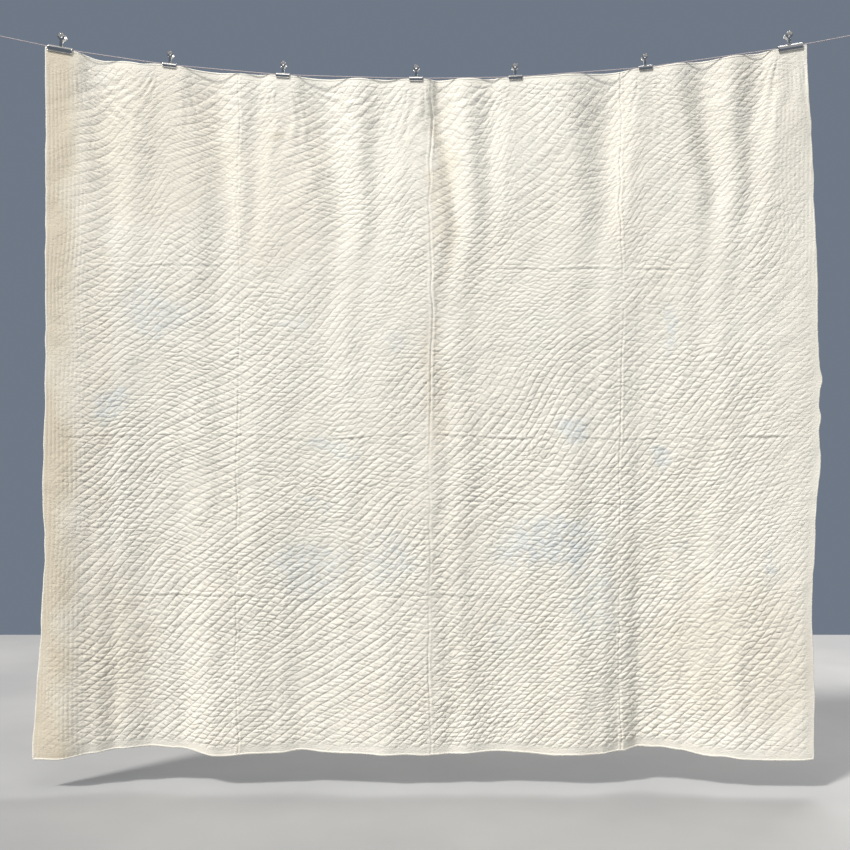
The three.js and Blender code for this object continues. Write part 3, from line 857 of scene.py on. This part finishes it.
def crease_lines(x, z):
    """Ridges with a hollow beside them, where the quilt was folded away, and its middle seam."""
    raised = np.zeros_like(x)
    for place, height, half_width in UPRIGHT_CREASES:
        wander = place + 0.006 * waver(z, 0.25, SEED + 1) + 0.003 * waver(z, 0.06, 5)
        strength = height * np.clip(0.8 + 0.6 * waver(z, 0.12, SEED + 2, place), 0.2, 1.3)
        raised += strength * bump_at(x, wander - 1.1 * half_width, 0.8 * half_width)
        raised += strength * bump_at(x, wander + 1.1 * half_width, 0.8 * half_width)
        raised -= 0.9 * strength * bump_at(x, wander, 0.7 * half_width)
    for place, start, end, height in LEVEL_CREASES:
        wander = place + 0.009 * waver(x, 0.30, SEED + 3) + 0.003 * waver(x, 0.05, 6)
        there = smooth_step(start, start + 0.08, x) * (1 - smooth_step(end - 0.08, end, x))
        broken = np.clip(0.55 + 0.75 * waver(x, 0.07, SEED + 4, place), 0.08, 1.1)
        strength = height * there * broken
        raised += strength * bump_at(z, wander, 0.0036)
        raised -= 0.9 * strength * bump_at(z, wander - 0.008, 0.0042)
    return raised


def clip_ripples(x, down):
    """Ripples that run out from each clip where it takes the cloth's weight."""
    raised = np.zeros_like(x)
    for number, ((clip_x, _), size) in enumerate(zip(LINE_CORNERS, SIZES)):
        spread = size["width"] / 2
        beside = np.clip(x - clip_x, -spread, spread)
        across, below = x - clip_x - beside * 0.7, down + 0.020
        reach = np.hypot(across, below)
        angle = np.arctan2(across, below) + 0.10 * noise(x, down, 0.06, SEED + 20 + number)
        uneven = 0.55 + 0.45 * noise(angle, reach * 0.3, 0.25, 40 + number)
        waves = np.cos(angle * CLIP_RIPPLES_PER_RADIAN + number * 1.7) * uneven
        away = reach / CLIP_RIPPLE_REACH
        shape = away * np.exp(1 - away) * CLIP_RIPPLE
        raised += waves * shape * smooth_step(1.45, 1.0, np.abs(angle))
    return raised * smooth_step(0.012, 0.050, down)


def side_ripples(x, down):
    """Fine upright ripples down both side edges."""
    drift = 0.7 * noise(x, down * 0.6, 0.10, SEED + 6)
    wave = np.cos(2 * math.pi * (x / SIDE_RIPPLE_PITCH + drift))
    left = smooth_step(-0.925, -0.985, x) * (0.75 + 0.25 * smooth_step(1.5, 0.9, down))
    right = smooth_step(0.955, 1.000, x) * smooth_step(0.9, 0.3, down) * 0.7
    uneven = 0.5 + 0.5 * noise(x, down, 0.045, SEED + 7)
    return SIDE_RIPPLE * wave * uneven * (left + right) * smooth_step(0.03, 0.08, down)


def undulation(x, down):
    """Soft unevenness of old cloth: long slow hollows and shorter diagonal pulls."""
    slow = 0.0042 * noise(x, down * 0.5, 0.16, SEED + 8)
    pulls = 0.0011 * noise(x + 0.7 * down, (down - 0.7 * x) * 0.35, 0.060, SEED + 9)
    short = 0.0007 * noise(x, down, 0.032, SEED + 10)
    return (slow + pulls + short) * smooth_step(0.02, 0.22, down)


def middle_surface(top_x, share):
    """The quilt's middle surface: x, y, z and the drop to each point from the top edge."""
    across = (top_x - LEFT) / (RIGHT - LEFT)
    length_down = share * QUILT_LENGTH
    lumps = 0.0015 * waver(length_down, 0.04, SEED + 12)
    left = eased(LEFT_EDGE, share) + lumps * smooth_step(0.03, 0.1, share)
    frayed = 0.0015 + 0.0035 * smooth_step(0.36, 0.42, share) * smooth_step(0.60, 0.52, share)
    lumps = frayed * waver(length_down, 0.035, SEED + 13)
    right = eased(RIGHT_EDGE, share) + lumps * smooth_step(0.03, 0.1, share)
    x = left + (right - left) * across
    top_z = line_height(top_x) - EDGE_BELOW_LINE
    gap = np.clip(np.searchsorted([clip_x for clip_x, _ in LINE_CORNERS], top_x) - 1, 0, 5)
    sag = np.array(TOP_SAGS)[gap] * (0.75 + 0.35 * waver(x, 0.06, SEED + 14))
    top_z = top_z - sag * away_from_clips(top_x, 0.06)
    hem_z = HEM_HEIGHT + HEM_LIFT * eased(HEM_FOLDS, x)
    hem_z = hem_z + 0.0030 * waver(x, 0.07, SEED + 15)
    z = top_z + (hem_z - top_z) * share
    down = top_z - z
    y = broad_folds(x, down)
    loose = looseness(x, down)
    y = y - (undulation(x, down) + crease_lines(x, z)) * loose
    y = y - (clip_ripples(x, down) + side_ripples(x, down)) * gripped(x, down)
    return x, y, z, down


# ---------- the quilting

def between_clips(x):
    """0 at each clip and 1 half-way to the next."""
    sag = np.zeros_like(x)
    for left, right in CLIP_GAPS:
        t = np.clip((x - left) / (right - left), 0, 1)
        sag += 4 * t * (1 - t)
    return sag


def quilting(x, down):
    """The two phases of the stitching: whole numbers are rows of stitches."""
    swag = 0.040 * (between_clips(x) - 0.5)
    swag = swag * smooth_step(0.0, 0.14, down) * smooth_step(0.80, 0.25, down)
    px = x + noises(x, down, DRIFT_ACROSS)
    pz = down + noises(x, down, DRIFT_DOWN) - swag
    slanting = (px * math.sin(SLANT) + pz * math.cos(SLANT)) / SLANT_PITCH
    row = np.floor(slanting)
    own = np.random.default_rng(SEED + 34).uniform(-0.5, 0.5, 512)[row.astype(int) % 512]
    wobble = 0.50 * noise(x, down, 0.026, SEED + 35) - 0.10 * (slanting - row - 0.5)
    level = (pz - 0.05 * px) / LEVEL_PITCH + own * 0.6 + wobble
    return slanting, level


def groove(phase, pitch, half_width):
    """1 in the groove that a row of stitches pulls in and 0 on the puffs beside it."""
    away = np.abs(phase - np.round(phase)) * pitch
    return np.exp(-((away / half_width) ** 1.5))


def round_top(phase):
    """1 half-way between two rows of stitches and 0 on them."""
    return 1 - (2 * (phase - np.floor(phase)) - 1) ** 2


def quilting_strength(x, z, down, share):
    """How deep the quilting shows: less near edges, on the side strips and under the clips."""
    from_side = np.minimum(x - eased(LEFT_EDGE, share), eased(RIGHT_EDGE, share) - x)
    inside = smooth_step(0.008, 0.032, from_side)
    inside = inside * smooth_step(0.003, 0.022, down) * smooth_step(0.995, 0.982, share)
    strips = 1 - 0.65 * smooth_step(-0.940, -0.995, x) - 0.45 * smooth_step(0.93, 1.02, x)
    cones = np.zeros_like(x)
    width = 0.012 + 0.14 * down
    for clip_x, _ in LINE_CORNERS:
        cones = np.maximum(cones, bump_at(x, clip_x, width) * smooth_step(0.45, 0.08, down))
    low = 0.62 + 0.62 * smooth_step(0.2, 1.8, down)
    patchy = 0.86 + noises(x, z, PATCHY)
    pressed = 1 - 0.6 * bump_at(x, SEAM_X, 0.010)
    return inside * strips * (1 - 0.40 * cones) * low * patchy * pressed


def puffed(x, z, down, share, depth):
    """The height of the puffs, and what the shader needs to draw the stitching on them."""
    slanting, level = quilting(x, down)
    strength = quilting_strength(x, z, down, share)
    swag = between_clips(x) * smooth_step(0.50, 0.10, down)
    turns = noise(x, down, 0.110, SEED + 37)
    broken = 0.70 + 0.40 * noise(x, down, 0.045, SEED + 18) - 0.30 * turns + 0.15 * swag
    faded = 0.76 + 0.50 * turns - 0.08 * swag
    valleys = np.clip(faded, 0.08, 1) * groove(slanting, SLANT_PITCH, SLANT_GROOVE)
    puckers = np.clip(broken, 0.1, 1) * groove(level, LEVEL_PITCH, LEVEL_GROOVE)
    pillow = 0.16 * round_top(slanting) + 0.10 * round_top(level)
    coarse = 0.22 - 0.10 * smooth_step(0.6, 0.2, down)
    crumple = coarse * noise(x, down, 0.012, SEED + 19) + 0.38 * noise(x, down, 0.0060, SEED + 21)
    height = depth * strength * ((1 - valleys) * (0.54 - 0.50 * puckers) + pillow + crumple)
    held = gripped(x, down)
    return np.maximum(height, 0) * held, slanting, level, strength * held


def patches(x, z, places, seed):
    """Soft-edged patches with wandering outlines."""
    wx = x + 0.030 * noise(x, z, 0.070, seed) + 0.012 * noise(x, z, 0.025, seed + 1)
    wz = z + 0.030 * noise(x, z, 0.070, seed + 2) + 0.012 * noise(x, z, 0.025, seed + 3)
    total = np.zeros_like(x)
    for place_x, place_z, half_width, half_height, strength in places:
        away = np.hypot((wx - place_x) / half_width, (wz - place_z) / half_height)
        total = np.maximum(total, strength * smooth_step(1.35, 0.55, away))
    return total


def quilt_panel(name, across, down, step, front):
    """A panel of the face or the back: `across` and `down` are its ends along and down the quilt."""
    columns = max(int((across[1] - across[0]) / step[0]), 4) + 1
    rows = max(int((down[1] - down[0]) * QUILT_LENGTH / step[1]), 4) + 1
    # One more row and column all round, so that panels meet with the same slope.
    top_x = np.clip(with_ends(np.linspace(*across, columns)), LEFT, RIGHT)
    share = np.clip(with_ends(np.linspace(*down, rows)), 0, 1)
    grid_x, grid_s = np.meshgrid(top_x, share)
    x, y, z, drop = middle_surface(grid_x, grid_s)
    height, slanting, level, strength = puffed(x, z, drop, grid_s, PUFF if front else 0.85 * PUFF)
    points = np.stack([x + MID_X, y, z], 2)
    normal = np.cross(np.gradient(points, axis=0), np.gradient(points, axis=1))
    normal /= np.maximum(np.linalg.norm(normal, axis=2, keepdims=True), 1e-12)
    outward = np.where((normal[:, :, 1:2] > 0) == front, -normal, normal)
    # The quilt thins towards its hem, and a little less towards its top edge.
    from_end = np.minimum(drop + TOP_TAPER_LESS, (1 - grid_s) * QUILT_LENGTH)
    thin = 0.55 + 0.45 * smooth_step(0, EDGE_TAPER, from_end)
    points = points + outward * (HALF_THICKNESS * thin + height)[:, :, None]
    inner = (slice(1, -1), slice(1, -1))
    faces = grid_faces(rows, columns, turned=not front)
    piece = new_mesh(name, points[inner].reshape(-1, 3), faces, COTTON_FACE)
    for attribute, values in (
        ("slanting", slanting), ("level", level), ("quilted", np.clip(strength, 0, 1.2)),
        ("blue", patches(x, z, BLUE_PATCHES, SEED + 50) * (1.0 if front else 0.5)),
        ("warm", np.maximum(patches(x, z, WARM_PATCHES, SEED + 60), edge_yellowing_and_shade(x, drop))),
    ):
        add_attribute(piece, attribute, values[inner])
    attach(piece, HANGING)
    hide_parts("quilt_face" if front else "quilt_backing")
    return piece


def edge_yellowing_and_shade(x, down):
    """The yellowing down the left edge, made darker to serve as painted shade of its fine ripples too, and a trace
    of it down the right one.
    """
    left = 1.25 * smooth_step(-0.925, -1.045, x) * (0.85 + 0.45 * noise(x, down, 0.10, SEED + 70))
    right = 0.04 * smooth_step(0.93, 1.03, x)
    return np.clip(np.maximum(left, right), 0, 1)


def bands(count):
    """The share of the quilt's length from which to which each of `count` equal bands runs."""
    ends = np.linspace(0.0, 1.0, count + 1)
    return list(zip(ends[:-1], ends[1:]))


HALVES = {"left": (LEFT, SEAM_X), "right": (SEAM_X, RIGHT)}
# For each side of the quilt: the steps of its grid, across and down, and its rows of panels.
GRIDS = {"face": ((0.0022, 0.0021), 6), "back": ((0.0034, 0.0032), 3)}
for half_name, half_span in HALVES.items():
    for side_name, (grid_step, row_count) in GRIDS.items():
        for number, row_span in enumerate(bands(row_count), 1):
            panel_name = f"quilt_{side_name}_{half_name}_{number}"
            panel = quilt_panel(panel_name, half_span, row_span, grid_step, side_name == "face")


# ---------- hem and wadding

def border_path():
    """Points round the quilt's edge, a HEM_STEP apart."""
    xs = np.linspace(LEFT, RIGHT, int((RIGHT - LEFT) / HEM_STEP))
    shares = np.linspace(0, 1, int(QUILT_LENGTH / HEM_STEP))
    top = [(a, 0.0) for a in xs[:-1]]
    right = [(RIGHT, s) for s in shares[:-1]]
    bottom = [(a, 1.0) for a in xs[::-1][:-1]]
    left = [(LEFT, s) for s in shares[::-1][:-1]]
    top_x, share = np.array(top + right + bottom + left).T
    x, y, z, _ = middle_surface(top_x, share)
    return np.stack([x + MID_X, y, z], 1)


def make_hem():
    """The sewn edge: a flattened roll of cloth, a little uneven along its length."""
    path = border_path()
    along = np.arange(len(path)) * HEM_STEP
    angle = np.linspace(0, 2 * math.pi, 10, endpoint=False)
    uneven = 1 + 0.18 * waver(along, 0.03, SEED + 80)
    ring = np.stack([
        HEM_HALF_THICKNESS * np.cos(angle)[None] * np.ones((len(path), 1)),
        HEM_HALF_DEPTH * np.sin(angle)[None] * uneven[:, None],
    ], 2)
    backwards = np.repeat([[0.0, 1.0, 0.0]], len(path), 0)
    hem = swept("quilt_hem", path, ring, COTTON_HEM, closed=True, side=backwards)
    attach(hem, HANGING)
    return hem


def make_wadding():
    """The layer between face and back, just inside both."""
    top_x = np.linspace(LEFT + WADDING_INSET, RIGHT - WADDING_INSET, WADDING_COLUMNS)
    grid_x, grid_s = np.meshgrid(top_x, np.linspace(0.006, 0.995, WADDING_ROWS))
    x, y, z, _ = middle_surface(grid_x, grid_s)
    layers = [np.stack([x + MID_X, y + offset, z], 2)
              for offset in (-WADDING_HALF_THICKNESS, WADDING_HALF_THICKNESS)]
    points = np.concatenate([layer.reshape(-1, 3) for layer in layers])
    rows, columns = grid_x.shape
    second = rows * columns
    faces = grid_faces(rows, columns).tolist()
    faces += grid_faces(rows, columns, turned=True, start=second).tolist()
    rim = list(range(columns))
    rim += [i * columns + columns - 1 for i in range(1, rows)]
    rim += [(rows - 1) * columns + j for j in range(columns - 2, -1, -1)]
    rim += [i * columns for i in range(rows - 2, 0, -1)]
    for a, b in zip(rim, rim[1:] + rim[:1]):
        faces.append((a, b, second + b, second + a))
    piece = new_mesh("quilt_wadding_layer", points, faces, wadding_fibre())
    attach(piece, HANGING)
    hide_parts("quilt_wadding")


hem = make_hem()
make_wadding()


# ---------- the ends of the line

def teardrop(offset, steps=64):
    """The thimble's outline in its own plane, `offset` outside its middle line."""
    angle = np.linspace(0, 2 * math.pi, steps, endpoint=False)
    radius = THIMBLE_RADIUS + offset
    x, y = np.cos(angle) * radius, np.sin(angle) * radius
    drawn = np.clip(x / radius, 0, 1)
    x = x + drawn ** 2 * THIMBLE_POINT
    y = y * (1 - 0.25 * drawn)
    return np.stack([x + THIMBLE_RADIUS, y, x * 0], 1)


def make_end(word, side):
    """The line's end loop round its thimble; `side` is -1 at the left end and 1 at the right."""
    hook, direction, _ = end_of_line(side)
    x = Vector(direction)
    y = Vector((0, 1, 0)) * (1 if side < 0 else -1)
    turn = Matrix((x, y, x.cross(y))).transposed()
    to_world = Matrix.Translation(Vector(hook) + Vector((MID_X, 0, 0))) @ turn.to_4x4()
    # The loop stays open at its point, inside the ferrule.
    outline = teardrop(THIMBLE_ROD / 2 + LOOP_GAP)[4:-3]
    loop = np.array([to_world @ Vector(p) for p in outline])
    rope, _, _ = laid_rope(f"{word}_line_loop", loop, LINE_DIAMETER * LOOP_SHARE)
    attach(rope, HANGING)
    return rope


def smooth_by_angle(angle):
    """Geometry nodes that shade a mesh smooth, apart from the edges sharper than `angle`."""
    tree = bpy.data.node_groups.new("smooth by angle", "GeometryNodeTree")
    tree.interface.new_socket("Geometry", in_out="INPUT", socket_type="NodeSocketGeometry")
    tree.interface.new_socket("Geometry", in_out="OUTPUT", socket_type="NodeSocketGeometry")
    merge = tree.nodes.new("GeometryNodeMergeByDistance")
    merge.inputs["Distance"].default_value = 0.00001
    plain = tree.nodes.new("GeometryNodeRemoveAttribute")
    plain.inputs["Name"].default_value = "custom_normal"
    smooth = tree.nodes.new("GeometryNodeSetShadeSmooth")
    sharp = tree.nodes.new("GeometryNodeSetShadeSmooth")
    sharp.domain = "EDGE"
    sharp.inputs["Shade Smooth"].default_value = False
    between = tree.nodes.new("GeometryNodeInputMeshEdgeAngle")
    steep = tree.nodes.new("FunctionNodeCompare")
    steep.inputs["B"].default_value = angle
    tree.links.new(between.outputs["Unsigned Angle"], steep.inputs["A"])
    tree.links.new(steep.outputs["Result"], sharp.inputs["Selection"])
    chain = [tree.nodes.new("NodeGroupInput"), merge, plain, smooth, sharp,
             tree.nodes.new("NodeGroupOutput")]
    for earlier, later in zip(chain, chain[1:]):
        tree.links.new(earlier.outputs["Geometry"], later.inputs["Geometry"])
    return tree


SMOOTH_TURNS = smooth_by_angle(SHARP_TURN)


def dress_fitting(piece, material):
    """Gives a CAD fitting its metal and smooth shading; its own mesh stays as it is."""
    piece.modifiers.new("smooth", "NODES").node_group = SMOOTH_TURNS
    for material_slot in piece.material_slots:
        material_slot.material = material


loops = [make_end("left", -1), make_end("right", 1)]

FITTINGS = {"wall_plate": ZINC, "thimble": ZINC, "ferrule": CRIMPED, "screw_upper": ZINC,
            "screw_lower": ZINC}
for end in ("left", "right"):
    for fitting, material in FITTINGS.items():
        dress_fitting(frame["nodes"][f"{end}_{fitting}"], material)
